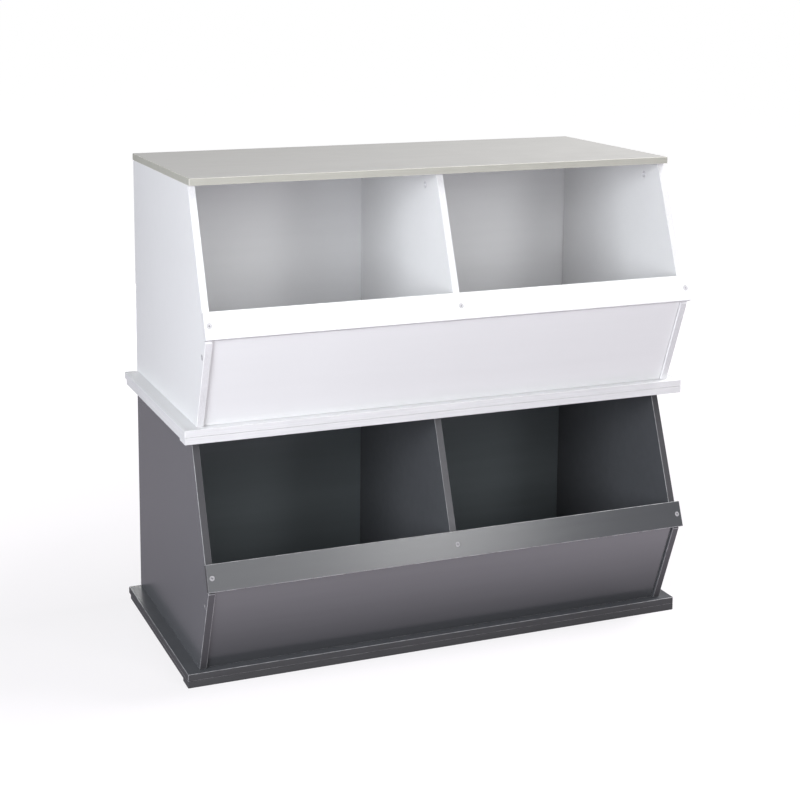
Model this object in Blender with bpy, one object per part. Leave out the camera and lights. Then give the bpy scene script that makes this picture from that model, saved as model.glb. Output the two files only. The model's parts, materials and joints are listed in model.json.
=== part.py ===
"""Two open storage bins with angled fronts, one stacked on the other.

Each unit is a base board on a frame of plinth strips, two profiled sides, a divider, a back panel held
in grooves, a leaning bin front and a rail lying across the slanted front edges. The upper unit also has
a top, and it stands on pegs in the lower unit's side edges, so it lifts off. Metres, +Z up, fronts to -Y.
"""

import math

import bmesh
import bpy
from mathutils import Matrix, Vector

# Boards and clearances.
BOARD = 0.012
BACK_BOARD = 0.004
GAP = 0.0003

# Overall sizes of one unit.
BODY_WIDTH = 0.880
UNIT_HEIGHT = 0.414
BASE_WIDTH = 0.926
BASE_DEPTH = 0.410
BASE_HEIGHT = 2 * BOARD
TOP_WIDTH = 0.882
TOP_DEPTH = 0.375

# The side's outline, as (y, z): y is 0 at the back edge and z is 0 under the plinth.
SIDE_TOP_FRONT = Vector((-0.363, UNIT_HEIGHT))
SIDE_CORNER = Vector((-0.455, 0.1755))
SIDE_FOOT_FRONT = Vector((-0.3975, BASE_HEIGHT))

# The plinth frame under the base board.
STRIP_WIDTH = 0.032
STRIP_INSET = 0.003

# The rail across the front, measured up the slant from the side's corner.
RAIL_LOW = 0.003
RAIL_WIDTH = 0.045
RAIL_OVERHANG = 0.002
RAIL_SCREW_ALONG = RAIL_LOW + RAIL_WIDTH / 2

# The bin front, recessed between the sides.
BIN_FRONT_RECESS = 0.004
BIN_FRONT_END_GAP = 0.001
BIN_SCREW_ALONG = 0.033
BIN_DOWEL_ALONG = 0.129

# The back panel, and the groove that each side has for it, which is a little wider than the panel.
BACK_PANEL_INSET = 0.018
GROOVE_DEPTH = 0.005
GROOVE_SLACK = 0.0012

# Where fasteners stand, as distances forward of the back edge.
BASE_SCREWS_Y = (-0.100, -0.340)
DIVIDER_SCREW_Y = -0.200
PEGS_Y = (-0.060, -0.300)
TOP_DOWEL_Y = -0.045
CAM_Y = -0.318
CAM_DROP = 0.025

# Fasteners, as radii and lengths.
SEGMENTS = 12
RAIL_SCREW = {"head": 0.0043, "shank": 0.0020, "length": 0.035}
PANEL_SCREW = {"head": 0.0050, "shank": 0.0025, "length": 0.045}
DOWEL_RADIUS = 0.003
DOWEL_LENGTH = 0.020
DOWEL_IN_SIDE = 0.008
PEG_LENGTH = 0.030
PEG_RISE = 0.009
TOP_DOWEL_LENGTH = 0.024
CAM_RADIUS = 0.006
CAM_LENGTH = 0.009
BOLT_THREAD_RADIUS = 0.0025
BOLT_HEAD_RADIUS = 0.0021
BOLT_SHANK_RADIUS = 0.0016
BOLT_IN_TOP = 0.009
BOLT_PAST_CAM_CENTRE = 0.002
FLUSH = 0.0001

# Directions along the two slants of the side's front edge, and into the board from each.
UP_SLANT = (SIDE_TOP_FRONT - SIDE_CORNER).normalized()
UP_INWARD = Vector((UP_SLANT.y, -UP_SLANT.x))
DOWN_SLANT = (SIDE_FOOT_FRONT - SIDE_CORNER).normalized()
DOWN_INWARD = Vector((-DOWN_SLANT.y, DOWN_SLANT.x))

SIDE_CENTRE_X = BODY_WIDTH / 2 - BOARD / 2
INNER_X = BODY_WIDTH / 2 - BOARD
SHELF_Z = BASE_HEIGHT + GAP
EDGE_Z = UNIT_HEIGHT - GAP


def upper_slant(along, inward=0.0):
    """The (y, z) of a point up the slant from the side's corner and into the board."""
    return SIDE_CORNER + along * UP_SLANT + inward * UP_INWARD


def lower_slant(along, inward=0.0):
    """The (y, z) of a point down the slant from the side's corner and into the board."""
    return SIDE_CORNER + along * DOWN_SLANT + inward * DOWN_INWARD


def at_height(start, direction, height):
    """The (y, z) where a line from start reaches a height."""
    return start + direction * (height - start.y) / direction.y


# The rail's lower outer edge reaches furthest forward. The frame's origin is under the middle.
RAIL_REACH = upper_slant(RAIL_LOW, -BOARD - GAP).x
BACK_Y = -RAIL_REACH / 2


def clear_scene():
    for old in list(bpy.data.objects):
        bpy.data.objects.remove(old)


def make_material(name, colour, roughness, metallic=0.0):
    material = bpy.data.materials.new(name)
    material.use_nodes = True
    shader = material.node_tree.nodes["Principled BSDF"]
    shader.inputs["Base Color"].default_value = (*colour, 1.0)
    shader.inputs["Roughness"].default_value = roughness
    shader.inputs["Metallic"].default_value = metallic
    return material


def make_unit(name, height):
    """An empty at the back edge of a unit's underside, which carries all of its pieces."""
    unit = bpy.data.objects.new(name, None)
    unit.location = (0, BACK_Y, height)
    bpy.context.scene.collection.objects.link(unit)
    return unit


def add_piece(unit, name, mesh, material):
    piece = bpy.data.objects.new(f"{unit.name}_{name}", mesh)
    piece.parent = unit
    if not mesh.materials:
        mesh.materials.append(material)
    bpy.context.scene.collection.objects.link(piece)
    return piece


def mesh_from(shape, name):
    bmesh.ops.recalc_face_normals(shape, faces=shape.faces)
    mesh = bpy.data.meshes.new(name)
    shape.to_mesh(mesh)
    shape.free()
    return mesh


def add_board(unit, name, low, high, material):
    """A square-edged board between two opposite corners, with its origin at its centre."""
    low = Vector(low)
    high = Vector(high)
    shape = bmesh.new()
    bmesh.ops.create_cube(shape, size=1.0)
    bmesh.ops.scale(shape, vec=high - low, verts=shape.verts)
    piece = add_piece(unit, name, mesh_from(shape, name), material)
    piece.location = (low + high) / 2
    return piece


def add_profile(unit, name, outline, centre_x, width, material):
    """A board whose (y, z) outline is extruded along X."""
    shape = bmesh.new()
    corners = [shape.verts.new((-width / 2, y, z)) for y, z in outline]
    face = shape.faces.new(corners)
    extruded = bmesh.ops.extrude_face_region(shape, geom=[face])
    moved = [item for item in extruded["geom"] if isinstance(item, bmesh.types.BMVert)]
    bmesh.ops.translate(shape, vec=(width, 0, 0), verts=moved)
    piece = add_piece(unit, name, mesh_from(shape, name), material)
    piece.location = (centre_x, 0, 0)
    return piece


def add_turned(shape, profile, placing):
    """Turns a (radius, depth) profile that starts and ends on the axis, +Z, into a shape."""
    rings = []
    for radius, depth in profile[1:-1]:
        ring = []
        for step in range(SEGMENTS):
            angle = math.tau * step / SEGMENTS
            point = Vector((radius * math.cos(angle), radius * math.sin(angle), depth))
            ring.append(shape.verts.new(placing @ point))
        rings.append(ring)
    for first, second in zip(rings, rings[1:]):
        for step in range(SEGMENTS):
            following = (step + 1) % SEGMENTS
            shape.faces.new((first[step], first[following], second[following], second[step]))
    shape.faces.new(rings[0])
    shape.faces.new(rings[-1])


def aimed(point, direction):
    """A placing whose +Z runs along the direction and whose +Y stays as upright as it can."""
    turn = Vector(direction).to_track_quat("Z", "Y").to_matrix().to_4x4()
    return Matrix.Translation(point) @ turn


def rod_profile(radius, length, chamfer=0.0005):
    return [
        (0, 0),
        (radius - chamfer, 0),
        (radius, chamfer),
        (radius, length - chamfer),
        (radius - chamfer, length),
        (0, length),
    ]


def hole_profile(radius, length):
    """A blind hole with clearance all round, starting a little outside its mouth."""
    return [(0, -BOARD / 4), (radius + GAP, -BOARD / 4), (radius + GAP, length + GAP), (0, length + GAP)]


def screw_profile(screw):
    rim = 0.0005
    cone = rim + screw["head"] - screw["shank"]
    return [
        (0, 0),
        (screw["head"], 0),
        (screw["head"], rim),
        (screw["shank"], cone),
        (screw["shank"], screw["length"] - 0.005),
        (screw["shank"] / 4, screw["length"]),
        (0, screw["length"]),
    ]


def screw_hole_profile(screw):
    """The countersunk hole of a screw, with clearance all round."""
    outer = screw["head"] + GAP
    inner = screw["shank"] + GAP
    rim = 0.0005 + GAP
    return [
        (0, -BOARD / 4),
        (outer, -BOARD / 4),
        (outer, rim),
        (inner, rim + outer - inner),
        (inner, screw["length"] + GAP),
        (0, screw["length"] + GAP),
    ]


def bolt_profile():
    """The cam bolt, from its end in the top down to the head that the cam grips."""
    length = BOLT_IN_TOP + CAM_DROP + BOLT_PAST_CAM_CENTRE
    head_start = length - 2 * BOLT_PAST_CAM_CENTRE
    return [
        (0, 0),
        (BOLT_THREAD_RADIUS - 0.0005, 0),
        (BOLT_THREAD_RADIUS, 0.0005),
        (BOLT_THREAD_RADIUS, BOLT_IN_TOP - 0.0005),
        (BOLT_SHANK_RADIUS, BOLT_IN_TOP),
        (BOLT_SHANK_RADIUS, head_start),
        (BOLT_HEAD_RADIUS, head_start + 0.0005),
        (BOLT_HEAD_RADIUS, length - 0.0005),
        (BOLT_HEAD_RADIUS - 0.0005, length),
        (0, length),
    ]


def finished_mesh(name, profile, recesses, smooth=True):
    """One turned mesh, with its recesses cut, for every copy of a fastener to share."""
    shape = bmesh.new()
    add_turned(shape, profile, Matrix())
    blank = bpy.data.objects.new(f"{name}_blank", mesh_from(shape, name))
    bpy.context.scene.collection.objects.link(blank)
    cutters = []
    for number, recess in enumerate(recesses):
        cutter = bpy.data.objects.new(f"{name}_recess_{number}", recess)
        bpy.context.scene.collection.objects.link(cutter)
        cut(blank, cutter)
        cutters.append(cutter)
    bpy.context.view_layer.update()
    graph = bpy.context.evaluated_depsgraph_get()
    mesh = bpy.data.meshes.new_from_object(blank.evaluated_get(graph))
    mesh.name = name
    for helper in [blank, *cutters]:
        bpy.data.objects.remove(helper)
    if smooth:
        mesh.shade_smooth()
        mesh.set_sharp_from_angle(angle=math.radians(30))
    return mesh


def block_mesh(name, size, centre):
    shape = bmesh.new()
    bmesh.ops.create_cube(shape, size=1.0)
    bmesh.ops.scale(shape, vec=size, verts=shape.verts)
    bmesh.ops.translate(shape, vec=centre, verts=shape.verts)
    return mesh_from(shape, name)


def cross_recess(arm, width, depth):
    """The two crossing slots of a screwdriver recess in a face at z = 0."""
    tall = (width, 2 * arm, 2 * depth)
    wide = (2 * arm, width, 2 * depth)
    return [block_mesh("slot_tall", tall, (0, 0, 0)), block_mesh("slot_wide", wide, (0, 0, 0))]


def hex_recess(radius, depth):
    shape = bmesh.new()
    bmesh.ops.create_cone(
        shape, cap_ends=True, segments=6, radius1=radius, radius2=radius, depth=2 * depth
    )
    return [mesh_from(shape, "hex_socket")]


def cam_bolt_hole():
    """The hole in a cam's rim that takes the bolt's head, running in from the top of the cam."""
    shape = bmesh.new()
    mouth = Vector((0, CAM_RADIUS, BOARD / 2))
    length = CAM_RADIUS + BOLT_PAST_CAM_CENTRE
    add_turned(shape, hole_profile(BOLT_HEAD_RADIUS, length), aimed(mouth, (0, -1, 0)))
    return [mesh_from(shape, "bolt_hole")]


def cut(target, cutter):
    """Takes the cutter's volume out of a board. A cutter's own holes may run into each other."""
    cutter.hide_render = True
    cutter.display_type = "WIRE"
    modifier = target.modifiers.new(cutter.name, "BOOLEAN")
    modifier.operation = "DIFFERENCE"
    modifier.object = cutter
    modifier.use_self = True


def drill(unit, board, holes):
    """Cuts a list of (profile, placing) holes, given in the unit's own coordinates, from a board."""
    shape = bmesh.new()
    for profile, placing in holes:
        add_turned(shape, profile, placing)
    cutter = bpy.data.objects.new(f"{board.name}_holes", mesh_from(shape, "holes"))
    cutter.parent = unit
    bpy.context.scene.collection.objects.link(cutter)
    cut(board, cutter)


def add_fastener(unit, name, mesh, placing):
    piece = add_piece(unit, name, mesh, None)
    piece.matrix_local = placing
    return piece


def side_x(side):
    return {"left": -SIDE_CENTRE_X, "centre": 0.0, "right": SIDE_CENTRE_X}[side]


def outward(side):
    return {"left": -1, "right": 1}[side]


def across(x, point):
    """The 3-D point at x on the side's outline plane."""
    return Vector((x, point.x, point.y))


def rail_screw_placing(side):
    head = across(side_x(side), upper_slant(RAIL_SCREW_ALONG, FLUSH - BOARD - GAP))
    return aimed(head, (0, *UP_INWARD))


def bin_screw_placing(side):
    centre = lower_slant(BIN_SCREW_ALONG, BIN_FRONT_RECESS + BOARD / 2)
    head_x = outward(side) * (BODY_WIDTH / 2 - FLUSH)
    return aimed(across(head_x, centre), (-outward(side), 0, 0))


def bin_dowel_placing(side):
    centre = lower_slant(BIN_DOWEL_ALONG, BIN_FRONT_RECESS + BOARD / 2)
    start_x = outward(side) * (INNER_X + DOWEL_IN_SIDE)
    return aimed(across(start_x, centre), (-outward(side), 0, 0))


def base_screw_placing(side, y):
    """Side screws start under the plinth strips, and the divider's under the base board."""
    head_z = BOARD if side == "centre" else 0.0
    return aimed((side_x(side), y, head_z + FLUSH), (0, 0, 1))


def peg_placing(side, y):
    """The peg stands in the side's top edge and rises past it."""
    return aimed((side_x(side), y, EDGE_Z + PEG_RISE - PEG_LENGTH), (0, 0, 1))


def top_dowel_placing(side):
    return aimed((side_x(side), TOP_DOWEL_Y, EDGE_Z + TOP_DOWEL_LENGTH / 3), (0, 0, -1))


def cam_centre(side):
    return Vector((side_x(side), CAM_Y, UNIT_HEIGHT - CAM_DROP))


def cam_placing(side):
    """A cam lies in the face towards the middle, and the divider's in its left face."""
    into = 1 if side == "centre" else outward(side)
    return aimed(cam_centre(side) - Vector((into * BOARD / 2, 0, 0)), (into, 0, 0))


def bolt_placing(side):
    return aimed(cam_centre(side) + Vector((0, 0, CAM_DROP + BOLT_IN_TOP)), (0, 0, -1))


def bolt_holes(side):
    """The cam's pocket and the bolt's way down to it."""
    pocket = (hole_profile(CAM_RADIUS, CAM_LENGTH), cam_placing(side))
    top = cam_centre(side) + Vector((0, 0, CAM_DROP))
    shaft = (hole_profile(BOLT_HEAD_RADIUS, CAM_DROP), aimed(top, (0, 0, -1)))
    return [pocket, shaft]


def add_base(unit, material):
    """The base board, and the plinth frame glued under it."""
    half = BASE_WIDTH / 2
    strip_half = half - STRIP_INSET
    strip_inner = strip_half - STRIP_WIDTH
    strip_top = BOARD - GAP
    front_strip_back = STRIP_WIDTH - BASE_DEPTH
    base = add_board(unit, "base_board", (-half, -BASE_DEPTH, BOARD), (half, 0, BASE_HEIGHT), material)
    add_board(unit, "plinth_front", (-half, -BASE_DEPTH, 0), (half, front_strip_back, strip_top), material)
    strips = {
        side: add_board(
            unit,
            f"plinth_{side}",
            (min(outward(side) * strip_inner, outward(side) * strip_half), front_strip_back + GAP, 0),
            (max(outward(side) * strip_inner, outward(side) * strip_half), 0, strip_top),
            material,
        )
        for side in ("left", "right")
    }
    back_half = strip_inner - GAP
    add_board(unit, "plinth_back", (-back_half, -STRIP_WIDTH, 0), (back_half, 0, strip_top), material)
    return base, strips


def side_outline():
    return [
        Vector((0, SHELF_Z)),
        Vector((0, EDGE_Z)),
        at_height(SIDE_CORNER, UP_SLANT, EDGE_Z),
        SIDE_CORNER,
        at_height(SIDE_CORNER, DOWN_SLANT, SHELF_Z),
    ]


def bin_front_outline():
    """A board square-cut at the top, just under the rail, and cut level where it meets the base."""
    front = lower_slant(0, BIN_FRONT_RECESS)
    to_rail = (GAP - (front - SIDE_CORNER).dot(UP_INWARD)) / DOWN_SLANT.dot(UP_INWARD)
    top_front = front + to_rail * DOWN_SLANT
    top_back = top_front + BOARD * DOWN_INWARD
    return [
        top_front,
        top_back,
        at_height(top_back, DOWN_SLANT, SHELF_Z),
        at_height(top_front, DOWN_SLANT, SHELF_Z),
    ]


def divider_outline():
    """The side's upper part, notched to lap over the top of the bin front and stand behind it."""
    top_front, top_back = bin_front_outline()[:2]
    lift = -GAP * DOWN_SLANT
    notch_line = top_front + lift
    to_slant = -(notch_line - SIDE_CORNER).dot(UP_INWARD) / DOWN_INWARD.dot(UP_INWARD)
    notch = top_back + lift + GAP * DOWN_INWARD
    back = -BACK_PANEL_INSET - BACK_BOARD - GAP
    return [
        Vector((back, SHELF_Z)),
        Vector((back, EDGE_Z)),
        at_height(SIDE_CORNER, UP_SLANT, EDGE_Z),
        notch_line + to_slant * DOWN_INWARD,
        notch,
        at_height(notch, DOWN_SLANT, SHELF_Z),
    ]


def rail_outline():
    low = RAIL_LOW
    high = RAIL_LOW + RAIL_WIDTH
    return [
        upper_slant(low, -GAP),
        upper_slant(high, -GAP),
        upper_slant(high, -BOARD - GAP),
        upper_slant(low, -BOARD - GAP),
    ]


def add_side(unit, side, material):
    """A side panel with the groove for the back panel."""
    board = add_profile(unit, f"side_{side}", side_outline(), side_x(side), BOARD, material)
    back_face = -BACK_PANEL_INSET + GAP
    front_face = -BACK_PANEL_INSET - BACK_BOARD - GROOVE_SLACK
    groove_bottom = outward(side) * (INNER_X + GROOVE_DEPTH)
    groove_mouth = outward(side) * (INNER_X - GROOVE_DEPTH)
    centre = ((groove_bottom + groove_mouth) / 2, (back_face + front_face) / 2, UNIT_HEIGHT / 2)
    size = (2 * GROOVE_DEPTH, back_face - front_face, 1.2 * UNIT_HEIGHT)
    groove = bpy.data.objects.new(f"{board.name}_groove", block_mesh("groove", size, centre))
    groove.parent = unit
    bpy.context.scene.collection.objects.link(groove)
    cut(board, groove)
    return board


def side_holes(side):
    """The holes that both units' sides have."""
    holes = [
        (screw_hole_profile(RAIL_SCREW), rail_screw_placing(side)),
        (screw_hole_profile(PANEL_SCREW), bin_screw_placing(side)),
        (rod_hole(DOWEL_RADIUS, DOWEL_LENGTH), bin_dowel_placing(side)),
    ]
    holes += [(screw_hole_profile(PANEL_SCREW), base_screw_placing(side, y)) for y in BASE_SCREWS_Y]
    return holes


def rod_hole(radius, length):
    """A hole with clearance all round a rod, at both of its ends."""
    return [(0, -GAP), (radius + GAP, -GAP), (radius + GAP, length + GAP), (0, length + GAP)]


def add_unit(name, height, board_material, back_material, meshes):
    """The pieces that both units have. Returns the unit and the boards that the stack drills."""
    unit = make_unit(name, height)
    screw_hole = screw_hole_profile(PANEL_SCREW)
    dowel_hole = rod_hole(DOWEL_RADIUS, DOWEL_LENGTH)

    base, strips = add_base(unit, board_material)
    base_screws = {
        f"base_screw_{side}_{place}": (side, y)
        for side in ("left", "right")
        for place, y in zip(("rear", "front"), BASE_SCREWS_Y)
    }
    base_screws["base_screw_centre"] = ("centre", DIVIDER_SCREW_Y)
    for screw_name, (side, y) in base_screws.items():
        add_fastener(unit, screw_name, meshes["panel_screw"], base_screw_placing(side, y))
    drill(unit, base, [(screw_hole, base_screw_placing(*place)) for place in base_screws.values()])

    sides = {side: add_side(unit, side, board_material) for side in ("left", "right")}

    divider = add_profile(unit, "divider", divider_outline(), 0, BOARD, board_material)

    bin_width = 2 * (INNER_X - BIN_FRONT_END_GAP)
    bin_front = add_profile(unit, "bin_front", bin_front_outline(), 0, bin_width, board_material)
    bin_holes = []
    for side in ("left", "right"):
        add_fastener(unit, f"bin_front_screw_{side}", meshes["panel_screw"], bin_screw_placing(side))
        add_fastener(unit, f"bin_front_dowel_{side}", meshes["dowel"], bin_dowel_placing(side))
        bin_holes.append((screw_hole, bin_screw_placing(side)))
        bin_holes.append((dowel_hole, bin_dowel_placing(side)))
    drill(unit, bin_front, bin_holes)

    rail_width = BODY_WIDTH + 2 * RAIL_OVERHANG
    rail = add_profile(unit, "front_rail", rail_outline(), 0, rail_width, board_material)
    for side in ("left", "centre", "right"):
        add_fastener(unit, f"rail_screw_{side}", meshes["rail_screw"], rail_screw_placing(side))
    rail_hole = screw_hole_profile(RAIL_SCREW)
    drill(unit, rail, [(rail_hole, rail_screw_placing(side)) for side in ("left", "centre", "right")])

    panel_half = INNER_X + GROOVE_DEPTH - GAP
    back_face = -BACK_PANEL_INSET
    add_board(
        unit,
        "back_panel",
        (-panel_half, back_face - BACK_BOARD, SHELF_Z),
        (panel_half, back_face, EDGE_Z),
        back_material,
    )
    return unit, sides, strips, divider


def divider_holes():
    return [
        (screw_hole_profile(PANEL_SCREW), base_screw_placing("centre", DIVIDER_SCREW_Y)),
        (screw_hole_profile(RAIL_SCREW), rail_screw_placing("centre")),
    ]


def strip_screw_holes(side):
    return [(screw_hole_profile(PANEL_SCREW), base_screw_placing(side, y)) for y in BASE_SCREWS_Y]


def add_lower_unit(materials, meshes):
    """The bottom unit, which has no top: pegs in its side edges carry the unit above."""
    unit, sides, strips, divider = add_unit(
        "lower", 0.0, materials["charcoal"], materials["charcoal_back"], meshes
    )
    for side in ("left", "right"):
        holes = side_holes(side)
        for place, y in zip(("rear", "front"), PEGS_Y):
            add_fastener(unit, f"stacking_peg_{side}_{place}", meshes["peg"], peg_placing(side, y))
            holes.append((rod_hole(DOWEL_RADIUS, PEG_LENGTH), peg_placing(side, y)))
        drill(unit, sides[side], holes)
        drill(unit, strips[side], strip_screw_holes(side))
    drill(unit, divider, divider_holes())


def add_upper_unit(materials, meshes):
    """The top unit, with a top held by cams at the front and dowels at the back."""
    unit, sides, strips, divider = add_unit(
        "upper", UNIT_HEIGHT, materials["white"], materials["white_back"], meshes
    )
    top_half = TOP_WIDTH / 2
    top_low = (-top_half, -TOP_DEPTH, UNIT_HEIGHT)
    top = add_board(unit, "top_board", top_low, (top_half, 0, UNIT_HEIGHT + BOARD), materials["taupe"])
    top_holes = []
    for side in ("left", "right"):
        add_fastener(unit, f"top_dowel_{side}", meshes["top_dowel"], top_dowel_placing(side))
        top_holes.append((rod_hole(DOWEL_RADIUS, TOP_DOWEL_LENGTH), top_dowel_placing(side)))
        holes = side_holes(side) + bolt_holes(side)
        holes.append((rod_hole(DOWEL_RADIUS, TOP_DOWEL_LENGTH), top_dowel_placing(side)))
        drill(unit, sides[side], holes)
        peg_holes = [
            (hole_profile(DOWEL_RADIUS, PEG_RISE + GAP), aimed((side_x(side), y, 0), (0, 0, 1)))
            for y in PEGS_Y
        ]
        drill(unit, strips[side], strip_screw_holes(side) + peg_holes)
    for side in ("left", "centre", "right"):
        add_fastener(unit, f"cam_{side}", meshes["cam"], cam_placing(side))
        add_fastener(unit, f"cam_bolt_{side}", meshes["cam_bolt"], bolt_placing(side))
        top_holes.append((rod_hole(BOLT_THREAD_RADIUS, BOLT_IN_TOP), bolt_placing(side)))
    drill(unit, top, top_holes)
    drill(unit, divider, divider_holes() + bolt_holes("centre"))


def make_materials():
    return {
        "charcoal": make_material("charcoal_laminate", (0.075, 0.074, 0.083), 0.35),
        "charcoal_back": make_material("charcoal_back_panel", (0.060, 0.066, 0.068), 0.45),
        "white": make_material("white_laminate", (0.80, 0.79, 0.82), 0.40),
        "white_back": make_material("white_back_panel", (0.70, 0.70, 0.72), 0.50),
        "taupe": make_material("taupe_laminate", (0.60, 0.585, 0.56), 0.45),
        "zinc": make_material("zinc_plated_steel", (0.62, 0.62, 0.64), 0.35, metallic=1.0),
        "beech": make_material("beech_dowel", (0.55, 0.38, 0.22), 0.60),
    }


def make_fastener_meshes(materials):
    cam_recesses = cross_recess(arm=0.0035, width=0.0013, depth=0.002) + cam_bolt_hole()
    meshes = {
        "rail_screw": finished_mesh(
            "rail_screw", screw_profile(RAIL_SCREW), cross_recess(arm=0.0021, width=0.0009, depth=0.0015)
        ),
        "panel_screw": finished_mesh(
            "panel_screw", screw_profile(PANEL_SCREW), hex_recess(radius=0.0020, depth=0.0022)
        ),
        "cam": finished_mesh("cam", rod_profile(CAM_RADIUS, CAM_LENGTH, 0.0003), cam_recesses),
        "cam_bolt": finished_mesh("cam_bolt", bolt_profile(), []),
        "dowel": finished_mesh("dowel", rod_profile(DOWEL_RADIUS, DOWEL_LENGTH), []),
        "top_dowel": finished_mesh("top_dowel", rod_profile(DOWEL_RADIUS, TOP_DOWEL_LENGTH), []),
        "peg": finished_mesh("peg", rod_profile(DOWEL_RADIUS, PEG_LENGTH, 0.001), []),
    }
    for name, mesh in meshes.items():
        wooden = name in ("dowel", "top_dowel")
        mesh.materials.append(materials["beech" if wooden else "zinc"])
    return meshes


def main():
    clear_scene()
    materials = make_materials()
    meshes = make_fastener_meshes(materials)
    add_lower_unit(materials, meshes)
    add_upper_unit(materials, meshes)


main()
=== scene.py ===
"""The looks of two stacked storage bins: laminated boards with eased edges, and detailed fasteners.

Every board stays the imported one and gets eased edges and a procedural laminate. Every screw, dowel, peg,
cam and cam bolt is replaced by a finely modelled one in the same place. Metres, +Z up, fronts to -Y.
"""

import json
import math

import bmesh
import bpy
from mathutils import Matrix, Vector


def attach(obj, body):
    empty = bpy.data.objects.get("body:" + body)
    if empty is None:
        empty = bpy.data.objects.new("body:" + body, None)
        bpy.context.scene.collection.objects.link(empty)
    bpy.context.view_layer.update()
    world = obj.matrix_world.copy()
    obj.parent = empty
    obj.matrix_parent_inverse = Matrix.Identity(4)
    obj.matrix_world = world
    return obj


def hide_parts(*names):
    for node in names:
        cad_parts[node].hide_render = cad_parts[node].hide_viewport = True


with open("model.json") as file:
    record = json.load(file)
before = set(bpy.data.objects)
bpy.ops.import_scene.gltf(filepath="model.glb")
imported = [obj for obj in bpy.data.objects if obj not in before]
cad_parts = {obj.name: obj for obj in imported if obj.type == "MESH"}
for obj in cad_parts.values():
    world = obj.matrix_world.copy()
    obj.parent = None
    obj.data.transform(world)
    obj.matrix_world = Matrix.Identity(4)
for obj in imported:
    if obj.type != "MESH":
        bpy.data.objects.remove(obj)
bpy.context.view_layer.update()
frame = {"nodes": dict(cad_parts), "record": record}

# The camera: where it stands, which way it looks, and its lens.
CAMERA_PLACE = (-1.122, -2.592, 1.172)
CAMERA_TURN = math.radians(-21.413)
CAMERA_DIP = math.radians(9.20)
CAMERA_ROLL = math.radians(0.188)
SENSOR_WIDTH = 36.0
FOCAL_LENGTH = 72.39
SHIFT_X = 0.05883
SHIFT_Y = -0.21556

# Boards. A face counts as broad if its direction agrees this well with the board's thickness.
BROAD_FACE_ALIGNMENT = 0.7
EDGE_RADIUS = 0.0008
EDGE_STEPS = 3
SHORTEST_EASED_EDGE = 0.008
SHARP_ANGLE = math.radians(40)
MERGE_DISTANCE = 1e-5
FLAT_WITHIN = math.radians(1)
GLOSS_CHANGE = 0.02
SKIN_DEPTH = 0.00001
BAND_SLOT = 1
EASED_SLOT = 2

# Fasteners, as radii, lengths and depths. A socketed face starts a small share of its radius off the axis.
SCREW_SEGMENTS = 32
CAM_SEGMENTS = 64
BOLT_SEGMENTS = 24
PEG_SEGMENTS = 48
MIDDLE_SHARE = 0.04
RAIL_HEAD_RADIUS = 0.0043
RAIL_SHANK_RADIUS = 0.0020
PANEL_HEAD_RADIUS = 0.0050
PANEL_SHANK_RADIUS = 0.0025
HEAD_RIM = 0.0004
SOCKET_WALL = 0.0003
CROSS_ARM = 0.0023
CROSS_WIDTH = 0.0010
CROSS_DEPTH = 0.0016
HEX_HALF_WIDTH = 0.0020
HEX_DEPTH = 0.0024
THREAD_PITCH = 0.0018
THREAD_STEPS = 6
THREAD_CORE = 0.70
PLAIN_SHANK = 0.004
TIP_LENGTH = 0.005
CAM_RADIUS = 0.0060
CAM_CROSS_ARM = 0.0036
CAM_CROSS_WIDTH = 0.0014
CAM_CROSS_DEPTH = 0.0018
CAM_RIM_WIDTH = 0.0007
CAM_DISH = 0.00025
CAM_RIM_RISE = 0.00001
BOLT_THREAD_RADIUS = 0.0025
BOLT_SHANK_RADIUS = 0.0016
BOLT_HEAD_RADIUS = 0.0021
BOLT_THREAD_LENGTH = 0.0090
BOLT_HEAD_LENGTH = 0.0040
BOLT_END = 0.0004
BOLT_COLLAR = 0.0008
DOWEL_RADIUS = 0.0030
DOWEL_FLUTES = 12
FLUTE_DEPTH = 0.00018
DOWEL_CHAMFER = 0.0008

BODIES = {"lower": "lower_unit", "upper": "upper_unit"}

# The studio. Each softbox has its azimuth, elevation, width in metres, power in watts and colour. The floor
# glows less near the stack's middle, a painted shadow round the stack, and in reflections more the further
# in front it lies, a painted reflection on the glossy boards.
STACK_MIDDLE = Vector((0.0, 0.0, 0.42))
SOFTBOX_DISTANCE = 3.2
SOFTBOXES = {
    "key_right": (80, 52, 1.4, 104.0, (1.0, 1.0, 1.0)),
    "fill_left": (-57, 13, 1.4, 80.0, (0.93, 0.965, 1.0)),
    "above_left": (-66, 42, 1.4, 14.0, (0.95, 0.97, 1.0)),
    "front_left": (-24, 17, 1.4, 20.0, (1.0, 1.0, 1.0)),
    "front": (12, 19, 1.4, 15.5, (1.0, 1.0, 1.0)),
    "behind": (180, -2, 0.7, 42.0, (1.0, 1.0, 1.0)),
    "front_right": (23, 17, 0.6, 10.4, (1.0, 1.0, 1.0)),
}
FLOOR_HALF = 60.0
FLOOR_COLOUR = (0.26, 0.24, 0.265)
# The floor's tint in reflections: painted reflection colour on the glossy boards.
REFLECTED_FLOOR_COLOUR = (1.04, 0.95, 1.06)
# Near the stack the floor glows less: a painted shadow round it.
FLOOR_GLOW_NEAR = 0.75
GLOW_NEAR_RADIUS = 0.75
GLOW_FAR_RADIUS = 2.2
# In reflections the floor glows strongly in front and weakly behind: a painted reflection on the glossy
# boards.
REFLECTED_FLOOR_IN_FRONT = 3.0
REFLECTED_FLOOR_BEHIND = 0.27
FRONT_Y = -0.30
BEHIND_Y = -0.18
WALLS_IN_REFLECTIONS = 0.29


# ---------------------------------------------------------------- node helpers


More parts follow.
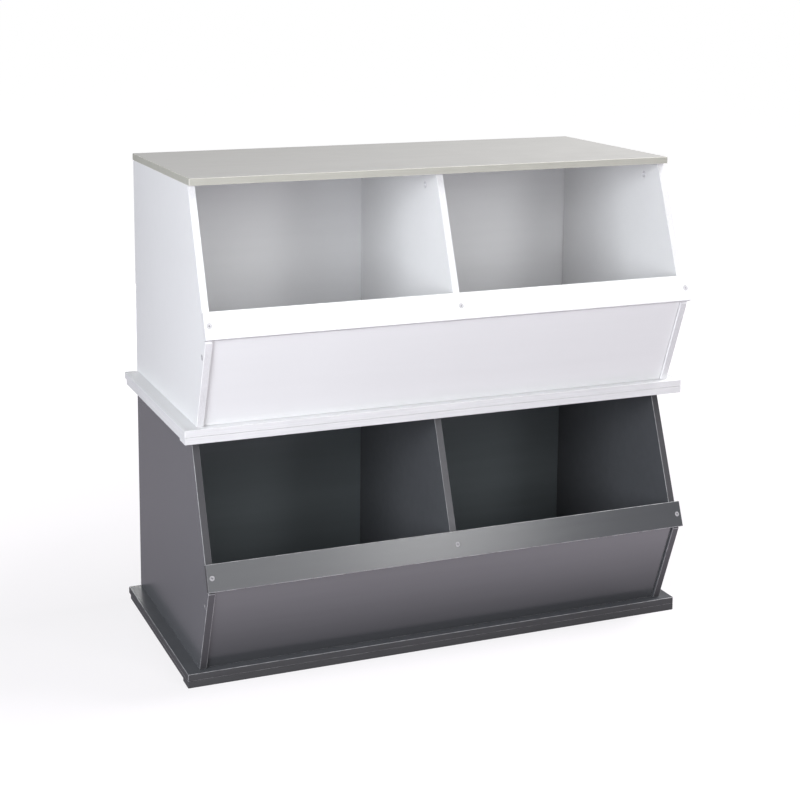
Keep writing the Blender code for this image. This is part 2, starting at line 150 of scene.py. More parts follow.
def new_material(name):
    """A material with only a Principled shader and its output. Returns the material and its shader."""
    material = bpy.data.materials.new(name)
    material.use_nodes = True
    tree = material.node_tree
    tree.nodes.clear()
    shader = tree.nodes.new("ShaderNodeBsdfPrincipled")
    output = tree.nodes.new("ShaderNodeOutputMaterial")
    tree.links.new(shader.outputs["BSDF"], output.inputs["Surface"])
    return material, shader


def place_node(tree):
    """Coordinates in metres that stay with the piece."""
    return tree.nodes.new("ShaderNodeTexCoord").outputs["Object"]


def stretched(tree, stretch):
    """The piece's coordinates, scaled along each axis."""
    mapping = tree.nodes.new("ShaderNodeMapping")
    mapping.inputs["Scale"].default_value = stretch
    tree.links.new(place_node(tree), mapping.inputs["Vector"])
    return mapping.outputs["Vector"]


def noise(tree, scale, detail, stretch=(1.0, 1.0, 1.0)):
    """A soft random value from 0 to 1 over the piece."""
    texture = tree.nodes.new("ShaderNodeTexNoise")
    texture.inputs["Scale"].default_value = scale
    texture.inputs["Detail"].default_value = detail
    tree.links.new(stretched(tree, stretch), texture.inputs["Vector"])
    return texture.outputs["Fac"]


def spread(tree, value, low, high, from_low=0.3, from_high=0.7):
    """Maps a random value's middle range to run from low to high."""
    ramp = tree.nodes.new("ShaderNodeMapRange")
    ramp.inputs["From Min"].default_value = from_low
    ramp.inputs["From Max"].default_value = from_high
    ramp.inputs["To Min"].default_value = low
    ramp.inputs["To Max"].default_value = high
    tree.links.new(value, ramp.inputs["Value"])
    return ramp.outputs["Result"]


def multiplied(tree, first, second):
    product = tree.nodes.new("ShaderNodeMath")
    product.operation = "MULTIPLY"
    tree.links.new(first, product.inputs[0])
    tree.links.new(second, product.inputs[1])
    return product.outputs["Value"]


def toned(tree, colour, brightness):
    """A colour whose brightness follows a value that varies over the piece."""
    scaled = tree.nodes.new("ShaderNodeVectorMath")
    scaled.operation = "SCALE"
    scaled.inputs[0].default_value = colour
    tree.links.new(brightness, scaled.inputs["Scale"])
    return scaled.outputs["Vector"]


def mixed(tree, factor, first, second):
    """A colour between two colours, by a factor that varies over the piece."""
    mix = tree.nodes.new("ShaderNodeMix")
    mix.data_type = "RGBA"
    tree.links.new(factor, mix.inputs["Factor"])
    tree.links.new(first, mix.inputs["A"])
    tree.links.new(second, mix.inputs["B"])
    return mix.outputs["Result"]


def bump(tree, height, distance, normal=None):
    """Raises the surface by a value that varies over the piece, on top of any earlier bump."""
    node = tree.nodes.new("ShaderNodeBump")
    node.inputs["Distance"].default_value = distance
    node.inputs["Strength"].default_value = 1.0
    tree.links.new(height, node.inputs["Height"])
    if normal is not None:
        tree.links.new(normal, node.inputs["Normal"])
    return node.outputs["Normal"]


# ---------------------------------------------------------------- materials


def laminate(name, colour, roughness, contrast):
    """A satin board face: faint long grain, fine speckle, a pebbled skin and slightly uneven sheen."""
    material, shader = new_material(name)
    tree = material.node_tree
    long_grain = noise(tree, 60.0, 4.0, (0.06, 1.0, 1.0))
    fine_speckle = noise(tree, 1400.0, 1.0)
    broad_tone = noise(tree, 3.0, 2.0)
    brightness = multiplied(
        tree,
        spread(tree, long_grain, 1 - contrast, 1 + contrast),
        multiplied(
            tree,
            spread(tree, fine_speckle, 1 - contrast, 1 + contrast),
            spread(tree, broad_tone, 0.985, 1.015),
        ),
    )
    tree.links.new(toned(tree, colour, brightness), shader.inputs["Base Color"])
    sheen_patches = noise(tree, 14.0, 3.0)
    half_change = GLOSS_CHANGE / 2
    rough = spread(tree, sheen_patches, roughness - half_change, roughness + half_change, 0.0, 1.0)
    tree.links.new(rough, shader.inputs["Roughness"])
    pebbles = noise(tree, 900.0, 2.0)
    waves = noise(tree, 120.0, 2.0, (0.3, 1.0, 1.0))
    skin = bump(tree, waves, SKIN_DEPTH)
    tree.links.new(bump(tree, pebbles, SKIN_DEPTH, skin), shader.inputs["Normal"])
    return material


def edge_lacquer(name, colour, roughness, highlight_colour):
    """The eased edge of a board, paler in patches: a painted highlight along the edge."""
    material, shader = new_material(name)
    tree = material.node_tree
    # Patches of the paler colour: painted highlight on the eased edge.
    highlight_patches = spread(tree, noise(tree, 45.0, 5.0), 0.0, 1.0, 0.40, 0.62)
    edge_tone = toned(tree, colour, spread(tree, noise(tree, 700.0, 1.0), 0.95, 1.05))
    highlight = toned(tree, highlight_colour, spread(tree, noise(tree, 300.0, 2.0), 0.92, 1.08))
    tree.links.new(mixed(tree, highlight_patches, edge_tone, highlight), shader.inputs["Base Color"])
    rough = spread(tree, noise(tree, 90.0, 3.0), roughness - 0.05, roughness + 0.08)
    tree.links.new(rough, shader.inputs["Roughness"])
    tree.links.new(bump(tree, noise(tree, 1100.0, 2.0), 0.00002), shader.inputs["Normal"])
    return material


def edge_band(name, colour, roughness, specular, upright):
    """The narrow faces of a board: a matt band with fine streaks that run across or up the board."""
    material, shader = new_material(name)
    tree = material.node_tree
    shader.inputs["Specular IOR Level"].default_value = specular
    streaks = noise(tree, 500.0, 4.0, (1.0, 1.0, 0.03) if upright else (0.03, 1.0, 1.0))
    clouds = noise(tree, 25.0, 3.0)
    brightness = multiplied(
        tree, spread(tree, streaks, 0.95, 1.05), spread(tree, clouds, 0.97, 1.03)
    )
    tree.links.new(toned(tree, colour, brightness), shader.inputs["Base Color"])
    rough = spread(tree, noise(tree, 60.0, 3.0), roughness - 0.05, roughness + 0.05)
    tree.links.new(rough, shader.inputs["Roughness"])
    tree.links.new(bump(tree, streaks, 0.00003), shader.inputs["Normal"])
    return material


def grained_laminate(name, colour, roughness):
    """The top's face: greyish taupe with a faint wood grain along its length."""
    material, shader = new_material(name)
    tree = material.node_tree
    grain = noise(tree, 90.0, 6.0, (0.04, 1.0, 1.0))
    pores = noise(tree, 900.0, 2.0, (0.08, 1.0, 1.0))
    brightness = multiplied(
        tree, spread(tree, grain, 0.98, 1.02), spread(tree, pores, 0.988, 1.012)
    )
    tree.links.new(toned(tree, colour, brightness), shader.inputs["Base Color"])
    rough = spread(tree, noise(tree, 18.0, 3.0), roughness - 0.04, roughness + 0.04)
    tree.links.new(rough, shader.inputs["Roughness"])
    skin = bump(tree, grain, 0.00004)
    tree.links.new(bump(tree, pores, 0.00002, skin), shader.inputs["Normal"])
    return material


def zinc_plate(name, colour):
    """Zinc plating with a fine crystal mottle and an uneven sheen."""
    material, shader = new_material(name)
    tree = material.node_tree
    shader.inputs["Metallic"].default_value = 1.0
    mottle = noise(tree, 1800.0, 3.0)
    brightness = spread(tree, mottle, 0.86, 1.08)
    tree.links.new(toned(tree, colour, brightness), shader.inputs["Base Color"])
    tree.links.new(spread(tree, noise(tree, 700.0, 2.0), 0.55, 0.68), shader.inputs["Roughness"])
    tree.links.new(bump(tree, mottle, 0.00001), shader.inputs["Normal"])
    return material


def beech(name):
    """Raw beech: warm, with fine short flecks along the dowel."""
    material, shader = new_material(name)
    tree = material.node_tree
    flecks = noise(tree, 1500.0, 4.0, (0.12, 1.0, 1.0))
    light = toned(tree, (0.60, 0.42, 0.26), spread(tree, noise(tree, 400.0, 2.0), 0.95, 1.05))
    dark = toned(tree, (0.42, 0.26, 0.14), spread(tree, noise(tree, 500.0, 2.0), 0.95, 1.05))
    flecked = mixed(tree, spread(tree, flecks, 0.0, 1.0, 0.55, 0.7), light, dark)
    tree.links.new(flecked, shader.inputs["Base Color"])
    tree.links.new(spread(tree, flecks, 0.55, 0.7), shader.inputs["Roughness"])
    tree.links.new(bump(tree, flecks, 0.00003), shader.inputs["Normal"])
    return material


def make_board_materials():
    """For each of the record's board finishes: its face, its bands by kind of board, and its eased edges."""
    white = ((0.74, 0.735, 0.75), 0.45, 0.35)
    white_across = edge_band("white_band_across", *white, upright=False)
    white_upright = edge_band("white_band_upright", *white, upright=True)
    taupe = edge_band("taupe_band", (0.42, 0.415, 0.37), 0.50, 0.35, upright=False)
    # In the charcoal finish the side band is darker and the divider band lighter than the level one: painted
    # shade and painted highlight by the board's place.
    charcoal_bands = {
        "level": edge_band("charcoal_band_level", (0.074, 0.073, 0.077), 0.45, 0.08, upright=False),
        "side": edge_band("charcoal_band_side_shaded", (0.060, 0.059, 0.064), 0.42, 0.22, upright=True),
        "divider": edge_band("charcoal_band_divider_lit", (0.088, 0.087, 0.093), 0.42, 0.30, upright=True),
    }
    white_bands = {"level": white_across, "side": white_upright, "divider": white_upright}
    taupe_bands = {"level": taupe}
    # Eased edges are paler in patches, and the charcoal one is twice as light as its face: painted
    # highlights along the edges.
    charcoal_eased = edge_lacquer("charcoal_eased", (0.18, 0.18, 0.19), 0.30, (0.34, 0.34, 0.35))
    white_eased = edge_lacquer("white_eased", (0.82, 0.82, 0.83), 0.38, (0.86, 0.86, 0.86))
    taupe_eased = edge_lacquer("taupe_eased", (0.56, 0.55, 0.50), 0.42, (0.64, 0.63, 0.58))
    charcoal_face = laminate("charcoal_face", (0.090, 0.093, 0.102), 0.25, 0.03)
    # A darker copy of the charcoal face for the lower unit's bin front and rail: painted shade.
    charcoal_front = laminate("charcoal_front", (0.066, 0.068, 0.074), 0.22, 0.03)
    # The charcoal back panel is lighter than the face and teal: partly its own tone, partly painted light
    # and its colour inside the compartments.
    charcoal_back = laminate("charcoal_back", (0.130, 0.148, 0.158), 0.34, 0.03)
    white_face = laminate("white_face", (0.80, 0.80, 0.81), 0.38, 0.006)
    # The white back panel is lighter than the white face: partly its own tone, partly painted light inside
    # the compartments.
    white_back = laminate("white_back", (0.85, 0.855, 0.87), 0.45, 0.008)
    taupe_face = grained_laminate("taupe_face", (0.57, 0.56, 0.545), 0.40)
    return {
        "charcoal_laminate": (charcoal_face, charcoal_bands, charcoal_eased),
        "charcoal_front": (charcoal_front, charcoal_bands, charcoal_eased),
        "charcoal_back_panel": (charcoal_back, charcoal_bands, charcoal_eased),
        "white_laminate": (white_face, white_bands, white_eased),
        "white_back_panel": (white_back, white_bands, white_eased),
        "taupe_laminate": (taupe_face, taupe_bands, taupe_eased),
    }


# ---------------------------------------------------------------- boards


def node_group(name):
    """An empty geometry node group. Returns it with the sockets where its geometry comes in and goes out."""
    group = bpy.data.node_groups.new(name, "GeometryNodeTree")
    group.interface.new_socket("Geometry", in_out="INPUT", socket_type="NodeSocketGeometry")
    group.interface.new_socket("Geometry", in_out="OUTPUT", socket_type="NodeSocketGeometry")
    start = group.nodes.new("NodeGroupInput").outputs[0]
    end = group.nodes.new("NodeGroupOutput").inputs[0]
    return group, start, end


def clean_mesh_group():
    """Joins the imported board's loose triangles into one smooth-shaded surface."""
    group, start, end = node_group("join_triangles")
    plain = group.nodes.new("GeometryNodeRemoveAttribute")
    plain.inputs["Name"].default_value = "custom_normal"
    merge = group.nodes.new("GeometryNodeMergeByDistance")
    merge.inputs["Distance"].default_value = MERGE_DISTANCE
    smooth = group.nodes.new("GeometryNodeSetShadeSmooth")
    group.links.new(start, plain.inputs["Geometry"])
    group.links.new(plain.outputs["Geometry"], merge.inputs["Geometry"])
    group.links.new(merge.outputs["Geometry"], smooth.inputs["Geometry"])
    group.links.new(smooth.outputs["Geometry"], end)
    return group


def faces_and_edges_group():
    """Gives a board's narrow faces the band, marks its long sharp edges to be eased and keeps rims crisp."""
    group, start, end = node_group("mark_faces_and_edges")
    across = group.interface.new_socket("Across", in_out="INPUT", socket_type="NodeSocketVector")
    across_value = next(node for node in group.nodes if node.type == "GROUP_INPUT").outputs["Across"]
    facing = group.nodes.new("ShaderNodeVectorMath")
    facing.operation = "DOT_PRODUCT"
    group.links.new(group.nodes.new("GeometryNodeInputNormal").outputs["Normal"], facing.inputs[0])
    group.links.new(across_value, facing.inputs[1])
    size = group.nodes.new("ShaderNodeMath")
    size.operation = "ABSOLUTE"
    group.links.new(facing.outputs["Value"], size.inputs[0])
    is_narrow = group.nodes.new("FunctionNodeCompare")
    is_narrow.operation = "LESS_THAN"
    is_narrow.inputs["B"].default_value = BROAD_FACE_ALIGNMENT
    group.links.new(size.outputs["Value"], is_narrow.inputs["A"])
    banded = group.nodes.new("GeometryNodeSetMaterialIndex")
    banded.inputs["Material Index"].default_value = BAND_SLOT
    group.links.new(start, banded.inputs["Geometry"])
    group.links.new(is_narrow.outputs["Result"], banded.inputs["Selection"])
    ends = group.nodes.new("GeometryNodeInputMeshEdgeVertices")
    length = group.nodes.new("ShaderNodeVectorMath")
    length.operation = "DISTANCE"
    group.links.new(ends.outputs["Position 1"], length.inputs[0])
    group.links.new(ends.outputs["Position 2"], length.inputs[1])
    is_long = group.nodes.new("FunctionNodeCompare")
    is_long.inputs["B"].default_value = SHORTEST_EASED_EDGE
    group.links.new(length.outputs["Value"], is_long.inputs["A"])
    angle = group.nodes.new("GeometryNodeInputMeshEdgeAngle")
    is_sharp = group.nodes.new("FunctionNodeCompare")
    is_sharp.inputs["B"].default_value = SHARP_ANGLE
    group.links.new(angle.outputs["Unsigned Angle"], is_sharp.inputs["A"])
    eased = group.nodes.new("FunctionNodeBooleanMath")
    group.links.new(is_sharp.outputs["Result"], eased.inputs[0])
    group.links.new(is_long.outputs["Result"], eased.inputs[1])
    crisp = group.nodes.new("FunctionNodeBooleanMath")
    crisp.operation = "NIMPLY"
    group.links.new(is_sharp.outputs["Result"], crisp.inputs[0])
    group.links.new(is_long.outputs["Result"], crisp.inputs[1])
    store = group.nodes.new("GeometryNodeStoreNamedAttribute")
    store.domain = "EDGE"
    store.inputs["Name"].default_value = "bevel_weight_edge"
    group.links.new(banded.outputs["Geometry"], store.inputs["Geometry"])
    group.links.new(eased.outputs["Boolean"], store.inputs["Value"])
    split = group.nodes.new("GeometryNodeSetShadeSmooth")
    split.domain = "EDGE"
    split.inputs["Shade Smooth"].default_value = False
    group.links.new(store.outputs["Geometry"], split.inputs["Geometry"])
    group.links.new(crisp.outputs["Boolean"], split.inputs["Selection"])
    group.links.new(split.outputs["Geometry"], end)
    return group, across.identifier


def finish_board(board, finishes, join_group, mark_group, across):
    """Gives a packed board its face and band, and small eased edges."""
    board.data.materials.clear()
    for finish in finishes:
        board.data.materials.append(finish)
    join = board.modifiers.new("join_triangles", "NODES")
    join.node_group = join_group
    flat = board.modifiers.new("flat_faces", "DECIMATE")
    flat.decimate_type = "DISSOLVE"
    flat.angle_limit = FLAT_WITHIN
    mark = board.modifiers.new("mark_faces_and_edges", "NODES")
    mark.node_group = mark_group
    mark[across] = max(board.data.polygons, key=lambda face: face.area).normal
    ease = board.modifiers.new("eased_edges", "BEVEL")
    ease.width = EDGE_RADIUS
    ease.segments = EDGE_STEPS
    ease.limit_method = "WEIGHT"
    ease.harden_normals = True
    ease.material = EASED_SLOT


def band_kind(name):
    """Sides and dividers have bands of their own, and every other board has a level one. In charcoal the
    side band is darker and the divider band lighter: painted shade and painted highlight by place.
    """
    return next((kind for kind in ("side", "divider") if kind in name), "level")


def finish_boards():
    """Plinth strips are banded all over, so they are darker than the faces and lack the eased edges' paler
    colour: painted shade along the base. The lower unit's bin front and rail take a darker copy of the
    charcoal face: painted shade.
    """
    finishes = make_board_materials()
    join_group = clean_mesh_group()
    mark_group, across = faces_and_edges_group()
    for part in frame["record"]["subparts"]:
        name, slot = part["node"], part["material_slot"]
        if slot in finishes:
            # The bin front and rail get the darker copy of the charcoal face: painted shade.
            is_front = name in ("lower_bin_front", "lower_front_rail")
            face, bands, eased = finishes["charcoal_front" if is_front else slot]
            band = bands[band_kind(name)]
            # Plinths take the darker band all over, eased edges too: painted shade along the base.
            finish = (band, band, band) if "plinth" in name else (face, band, eased)
            finish_board(frame["nodes"][name], finish, join_group, mark_group, across)


# ---------------------------------------------------------------- fasteners


def spun_mesh(name, profile, segments, shape):
    """Turns a (radius, depth) profile about +Z. The shape gives each point its own radius and depth."""
    surface = bmesh.new()
    rings = []
    for radius, depth in profile:
        ring = []
        for step in range(segments):
            angle = math.tau * step / segments
            own_radius, own_depth = shape(radius, depth, angle)
            spot = (own_radius * math.cos(angle), own_radius * math.sin(angle), own_depth)
            ring.append(surface.verts.new(spot))
        rings.append(ring)
    for first, second in zip(rings, rings[1:]):
        for step in range(segments):
            after = (step + 1) % segments
            surface.faces.new((first[step], first[after], second[after], second[step]))
    for ring in (rings[0], rings[-1]):
        middle = sum((corner.co for corner in ring), Vector()) / segments
        pole = surface.verts.new(middle)
        for step in range(segments):
            surface.faces.new((ring[step], ring[(step + 1) % segments], pole))
    bmesh.ops.recalc_face_normals(surface, faces=surface.faces)
    mesh = bpy.data.meshes.new(name)
    surface.to_mesh(mesh)
    surface.free()
    mesh.shade_smooth()
    mesh.set_sharp_from_angle(angle=SHARP_ANGLE)
    return mesh


def steps(start, end, count):
    """Evenly spaced values from start to end, both included."""
    return [start + (end - start) * number / count for number in range(count + 1)]


def sunk(inside, depth):
    """How deep a socket is at a point that lies this far inside its outline."""
    share = min(max(inside / SOCKET_WALL, 0.0), 1.0)
    return depth * share * share * (3 - 2 * share)


def cross_socket(arm, width, depth):
    """A screwdriver cross, whose arms get shallower outwards."""

    def depth_at(x, y):
        near, far = sorted((abs(x), abs(y)))
        inside = min(width / 2 - near, arm - far)
        return sunk(inside, depth * (1.15 - 0.7 * far / arm))

    return depth_at


def hex_socket(half_width, depth):
    """A hexagon key socket with a flat floor."""

    def depth_at(x, y):
        directions = [math.tau * side / 6 for side in range(6)]
        reach = max(x * math.cos(turn) + y * math.sin(turn) for turn in directions)
        return sunk(half_width - reach, depth)

    return depth_at


def thread_rings(radius, start, end):
    """Profile rings close enough together to carry a thread between two depths."""
    count = round((end - start) / THREAD_PITCH * THREAD_STEPS)
    return [(radius, depth) for depth in steps(start, end, count)]


def thread_radius(radius, depth, angle, start, end):
    """The ridge of a thread that winds round the axis, fading in and out at its ends."""
    turn = (depth / THREAD_PITCH + angle / math.tau) % 1.0
    ridge = max(0.0, 1 - abs(turn - 0.5) / 0.32)
    fade = min(1.0, (depth - start) / THREAD_PITCH, (end - depth) / THREAD_PITCH)
    return radius * (THREAD_CORE + (1 - THREAD_CORE) * ridge * max(fade, 0.0))


def screw_mesh(name, head, shank, length, socket):
    """A countersunk screw: a flat head with a socket, a round rim, a cone, a neck, a thread and a tip."""
    cone_end = HEAD_RIM + head - shank
    thread_start = cone_end + PLAIN_SHANK
    thread_end = length - TIP_LENGTH / 2
    face = [(radius, 0.0) for radius in steps(head * MIDDLE_SHARE, head - HEAD_RIM / 2, 22)]
    rim = [(head - HEAD_RIM * 0.15, HEAD_RIM * 0.15), (head, HEAD_RIM / 2), (head, HEAD_RIM)]
    neck = [(shank, cone_end), (shank, thread_start - THREAD_PITCH / 4)]
    tip = [(shank * 0.45, length - TIP_LENGTH * 0.3), (shank * 0.06, length)]
    profile = face + rim + neck + thread_rings(shank, thread_start, thread_end) + tip

    def shape(radius, depth, angle):
        if depth == 0.0:
            return radius, socket(radius * math.cos(angle), radius * math.sin(angle))
        if thread_start <= depth <= thread_end:
            return thread_radius(radius, depth, angle, thread_start, thread_end), depth
        return radius, depth

    return spun_mesh(name, profile, SCREW_SEGMENTS, shape)


def rail_screw_mesh(name, length):
    socket = cross_socket(CROSS_ARM, CROSS_WIDTH, CROSS_DEPTH)
    return screw_mesh(name, RAIL_HEAD_RADIUS, RAIL_SHANK_RADIUS, length, socket)


def panel_screw_mesh(name, length):
    socket = hex_socket(HEX_HALF_WIDTH, HEX_DEPTH)
    return screw_mesh(name, PANEL_HEAD_RADIUS, PANEL_SHANK_RADIUS, length, socket)


def cam_mesh(name, length):
    """A cam lock's disc: a raised rim round a dished face with a cross, over a plain drum."""
    socket = cross_socket(CAM_CROSS_ARM, CAM_CROSS_WIDTH, CAM_CROSS_DEPTH)
    face_radii = steps(CAM_RADIUS * MIDDLE_SHARE, CAM_RADIUS - CAM_RIM_WIDTH - CAM_DISH, 26)
    profile = [(radius, 0.0) for radius in face_radii]
    profile += [
        (CAM_RADIUS - CAM_RIM_WIDTH, CAM_RIM_RISE),
        (CAM_RADIUS - CAM_DISH, CAM_RIM_RISE),
        (CAM_RADIUS, CAM_DISH),
        (CAM_RADIUS, length - CAM_DISH),
        (CAM_RADIUS - CAM_DISH, length),
        (CAM_RADIUS * 0.3, length),
    ]

    def shape(radius, depth, angle):
        if depth == 0.0:
            return radius, CAM_DISH + socket(radius * math.cos(angle), radius * math.sin(angle))
        return radius, depth

    return spun_mesh(name, profile, CAM_SEGMENTS, shape)


def bolt_mesh(name, length):
    """A cam bolt, from its threaded end down to the head that the cam grips."""
    thread_end = BOLT_THREAD_LENGTH - BOLT_COLLAR
    head_start = length - BOLT_HEAD_LENGTH
    bulge_start = head_start + 0.0003
    profile = [(BOLT_THREAD_RADIUS * 0.5, 0.0)]
    profile += thread_rings(BOLT_THREAD_RADIUS, BOLT_END, thread_end)
    profile += [
        (BOLT_THREAD_RADIUS, thread_end + 0.0001),
        (BOLT_THREAD_RADIUS, BOLT_THREAD_LENGTH),
        (BOLT_SHANK_RADIUS, BOLT_THREAD_LENGTH + 0.0002),
        (BOLT_SHANK_RADIUS, head_start),
    ]
    for share in steps(0.0, 1.0, 8):
        bulge = math.sin(math.pi * (0.2 + 0.72 * share))
        profile.append((BOLT_HEAD_RADIUS * bulge, bulge_start + share * (length - bulge_start)))

    def shape(radius, depth, angle):
        if 0.0 < depth <= thread_end:
            return thread_radius(radius, depth, angle, BOLT_END, thread_end), depth
        return radius, depth

    return spun_mesh(name, profile, BOLT_SEGMENTS, shape)


def dowel_mesh(name, length):
    """A fluted beech dowel with chamfered ends."""
    profile = [(DOWEL_RADIUS * 0.2, 0.0), (DOWEL_RADIUS - DOWEL_CHAMFER, 0.0)]
    profile += [(DOWEL_RADIUS, depth) for depth in steps(DOWEL_CHAMFER, length - DOWEL_CHAMFER, 8)]
    profile += [(DOWEL_RADIUS - DOWEL_CHAMFER, length), (DOWEL_RADIUS * 0.2, length)]

    def shape(radius, depth, angle):
        if radius < DOWEL_RADIUS:
            return radius, depth
        groove = 0.5 - 0.5 * math.cos(DOWEL_FLUTES * angle)
        return radius - FLUTE_DEPTH * groove ** 3, depth

    return spun_mesh(name, profile, DOWEL_FLUTES * 8, shape)


def peg_mesh(name, length):
    """A smooth steel peg with domed ends."""
    dome = DOWEL_RADIUS * 0.6
    lower = []
    upper = []
    for share in steps(0.12, 1.0, 7):
        turn = share * math.pi / 2
        lower.append((DOWEL_RADIUS * math.sin(turn), dome * (1 - math.cos(turn))))
        upper.append((DOWEL_RADIUS * math.sin(turn), length - dome * (1 - math.cos(turn))))

    def shape(radius, depth, angle):
        return radius, depth

    return spun_mesh(name, lower + upper[::-1], PEG_SEGMENTS, shape)


def end_centre(node, direction):
    """The middle of the end of a packed fastener that lies furthest back along a direction."""
    points = [corner.co for corner in node.data.vertices]
    furthest = min(point.dot(direction) for point in points)
    end = [point for point in points if point.dot(direction) < furthest + MERGE_DISTANCE]
    lowest = Vector(map(min, zip(*end)))
    highest = Vector(map(max, zip(*end)))
    return (lowest + highest) / 2


def length_along(node, direction):
    """How long a packed fastener is along a direction."""
    reaches = [corner.co.dot(direction) for corner in node.data.vertices]
    return max(reaches) - min(reaches)


def broadest_normal(node, towards):
    """The outward direction of a packed board's broadest face on the side that looks a given way."""
    faces = [face for face in node.data.polygons if face.normal.dot(Vector(towards)) > 0.5]
    return max(faces, key=lambda face: face.area).normal.copy()


def screw_direction(name):
    """The way a packed fastener runs, from its head or upper end into the board."""
    unit, short = name.split("_", 1)
    if short.startswith("rail_screw"):
        return -broadest_normal(frame["nodes"][f"{unit}_front_rail"], (0, -1, 0))
    if short.startswith(("bin_front_screw", "bin_front_dowel")):
        return Vector((1, 0, 0)) if short.endswith("left") else Vector((-1, 0, 0))
    if short.startswith("base_screw"):
        return Vector((0, 0, 1))
    if short in ("cam_left", "cam_centre", "cam_right"):
        return Vector((-1, 0, 0)) if short == "cam_left" else Vector((1, 0, 0))
    if short.startswith("stacking_peg"):
        return Vector((0, 0, 1))
    return Vector((0, 0, -1))


FASTENER_MESHES = {
    "rail_screw": rail_screw_mesh,
    "bin_front_screw": panel_screw_mesh,
    "base_screw": panel_screw_mesh,
    "cam_bolt": bolt_mesh,
    "cam": cam_mesh,
    "bin_front_dowel": dowel_mesh,
    "top_dowel": dowel_mesh,
    "stacking_peg": peg_mesh,
}


def fastener_mesh(name, length):
    """The detailed mesh for a packed fastener, made once in each unit and shared by all that are alike."""
    unit, short = name.split("_", 1)
    kind = next(kind for kind in FASTENER_MESHES if short.startswith(kind))
    label = f"{unit}_{kind}"
    if label not in bpy.data.meshes:
        FASTENER_MESHES[kind](label, length)
    return bpy.data.meshes[label]


def finish_fasteners():
    """Screws and pegs are greyer in the dark unit and brighter in the white one, and cams are brightest."""
    dark_zinc = zinc_plate("dark_zinc", (0.30, 0.303, 0.31))
    zinc = zinc_plate("zinc", (0.50, 0.505, 0.515))
    cast_zinc = zinc_plate("cast_zinc", (0.76, 0.765, 0.78))
    raw_beech = beech("raw_beech")
    for part in frame["record"]["subparts"]:
        name, slot = part["node"], part["material_slot"]
        if slot not in ("zinc_plated_steel", "beech_dowel"):
            continue
        node = frame["nodes"][name]
        direction = screw_direction(name)
        mesh = fastener_mesh(name, length_along(node, direction))
        if not mesh.materials:
            if slot == "beech_dowel":
                mesh.materials.append(raw_beech)
            elif mesh.name == "upper_cam":
                mesh.materials.append(cast_zinc)
            else:
                mesh.materials.append(dark_zinc if name.startswith("lower") else zinc)
        piece = bpy.data.objects.new(f"{name}_detailed", mesh)
        bpy.context.scene.collection.objects.link(piece)
        turn = direction.to_track_quat("Z", "Y").to_matrix().to_4x4()
        piece.matrix_world = Matrix.Translation(end_centre(node, direction)) @ turn
        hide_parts(name)
        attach(piece, BODIES[name.split("_")[0]])


# ---------------------------------------------------------------- studio


def add_camera():
    """The camera at the photograph's viewing angle, with the lens shifted as the photograph's was."""
    data = bpy.data.cameras.new("camera")
    data.sensor_width = SENSOR_WIDTH
    data.lens = FOCAL_LENGTH
    data.shift_x = SHIFT_X
    data.shift_y = SHIFT_Y
    camera = bpy.data.objects.new("camera", data)
    aim = Matrix.Rotation(CAMERA_TURN, 4, "Z") @ Matrix.Rotation(math.radians(90) - CAMERA_DIP, 4, "X")
    camera.matrix_world = Matrix.Translation(CAMERA_PLACE) @ aim @ Matrix.Rotation(CAMERA_ROLL, 4, "Z")
    bpy.context.scene.collection.objects.link(camera)
    bpy.context.scene.camera = camera


def add_softbox(name, place, size, power, colour):
    """A square light that faces the stack's middle, and that the camera doesn't see."""
    data = bpy.data.lights.new(name, "AREA")
    data.shape = "SQUARE"
    data.size = size
    data.energy = power
    data.color = colour
    lamp = bpy.data.objects.new(name, data)
    lamp.location = place
    lamp.rotation_euler = (STACK_MIDDLE - place).to_track_quat("-Z", "Y").to_euler()
    lamp.visible_camera = False
    bpy.context.scene.collection.objects.link(lamp)


def seen(tree, in_reflections):
    """A glow's strength: 1 to the camera, as given in reflections, and 0 as light on matt surfaces."""
    path = tree.nodes.new("ShaderNodeLightPath")
    glow = tree.nodes.new("ShaderNodeMath")
    glow.operation = "MULTIPLY_ADD"
    tree.links.new(path.outputs["Is Glossy Ray"], glow.inputs[0])
    tree.links.new(path.outputs["Is Camera Ray"], glow.inputs[2])
    if isinstance(in_reflections, float):
        glow.inputs[1].default_value = in_reflections
    else:
        tree.links.new(in_reflections, glow.inputs[1])
    return glow.outputs["Value"]


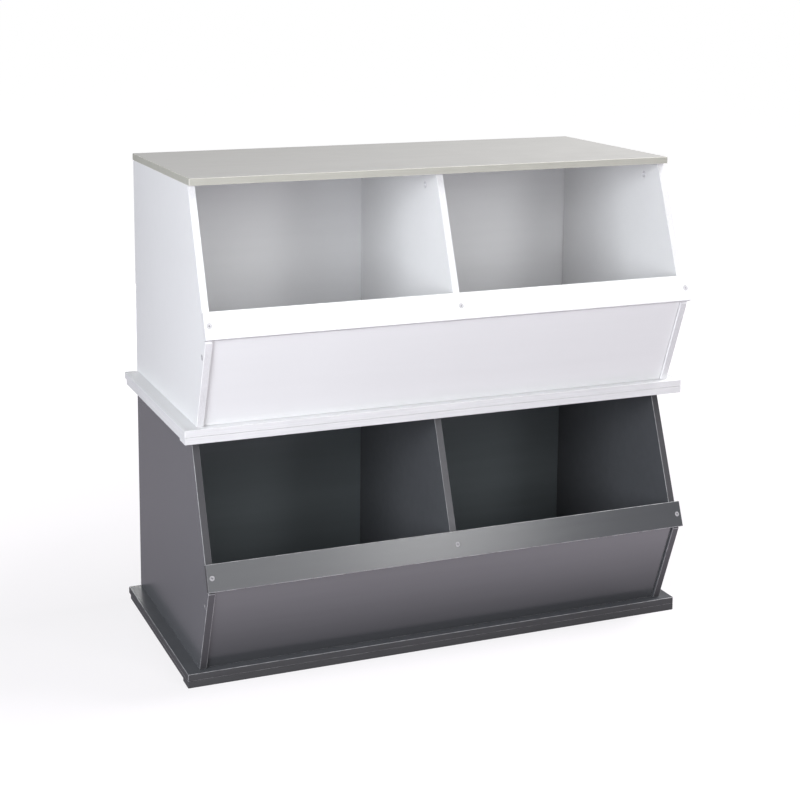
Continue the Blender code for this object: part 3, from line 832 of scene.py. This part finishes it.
def add_floor():
    """A pale floor that glows white, less near the stack as a painted shadow, and in reflections brightest
    in front and tinted, as a painted reflection on the glossy boards.
    """
    shape = bmesh.new()
    bmesh.ops.create_grid(shape, x_segments=1, y_segments=1, size=FLOOR_HALF)
    mesh = bpy.data.meshes.new("floor")
    shape.to_mesh(mesh)
    shape.free()
    material, shader = new_material("pale_floor")
    shader.inputs["Base Color"].default_value = (*FLOOR_COLOUR, 1.0)
    shader.inputs["Roughness"].default_value = 1.0
    shader.inputs["Specular IOR Level"].default_value = 0.0
    tree = material.node_tree
    tint = tree.nodes.new("ShaderNodeMix")
    tint.data_type = "RGBA"
    tint.inputs["A"].default_value = (1.0, 1.0, 1.0, 1.0)
    tint.inputs["B"].default_value = (*REFLECTED_FLOOR_COLOUR, 1.0)
    path = tree.nodes.new("ShaderNodeLightPath")
    tree.links.new(path.outputs["Is Glossy Ray"], tint.inputs["Factor"])
    tree.links.new(tint.outputs["Result"], shader.inputs["Emission Color"])
    distance = tree.nodes.new("ShaderNodeVectorMath")
    distance.operation = "LENGTH"
    tree.links.new(place_node(tree), distance.inputs[0])
    # Less glow near the stack: a painted shadow round it.
    glow = spread(tree, distance.outputs["Value"], FLOOR_GLOW_NEAR, 1.0, GLOW_NEAR_RADIUS, GLOW_FAR_RADIUS)
    apart = tree.nodes.new("ShaderNodeSeparateXYZ")
    tree.links.new(place_node(tree), apart.inputs["Vector"])
    # Stronger glow in reflections in front than behind: a painted reflection on the glossy boards.
    reflected = spread(
        tree, apart.outputs["Y"], REFLECTED_FLOOR_IN_FRONT, REFLECTED_FLOOR_BEHIND, FRONT_Y, BEHIND_Y
    )
    strength = multiplied(tree, glow, seen(tree, reflected))
    tree.links.new(strength, shader.inputs["Emission Strength"])
    material.cycles.emission_sampling = "NONE"
    mesh.materials.append(material)
    floor = bpy.data.objects.new("floor", mesh)
    bpy.context.scene.collection.objects.link(floor)


def add_world():
    """The studio's white walls, dimmer in reflections, while only the softboxes give light."""
    world = bpy.data.worlds.new("studio")
    world.use_nodes = True
    tree = world.node_tree
    background = tree.nodes["Background"]
    background.inputs["Color"].default_value = (1.0, 1.0, 1.0, 1.0)
    tree.links.new(seen(tree, WALLS_IN_REFLECTIONS), background.inputs["Strength"])
    world.cycles.sampling_method = "NONE"
    bpy.context.scene.world = world


def around(azimuth, elevation, distance):
    """A place round the stack's middle. Azimuth 0 is in front and 90 is to the right."""
    turn = math.radians(azimuth)
    rise = math.radians(elevation)
    way = Vector((math.sin(turn) * math.cos(rise), -math.cos(turn) * math.cos(rise), math.sin(rise)))
    return STACK_MIDDLE + distance * way


def add_studio():
    add_camera()
    add_floor()
    add_world()
    for name, (azimuth, elevation, size, power, colour) in SOFTBOXES.items():
        add_softbox(name, around(azimuth, elevation, SOFTBOX_DISTANCE), size, power, colour)
    bpy.context.scene.view_settings.view_transform = "Standard"


finish_boards()
finish_fasteners()
add_studio()
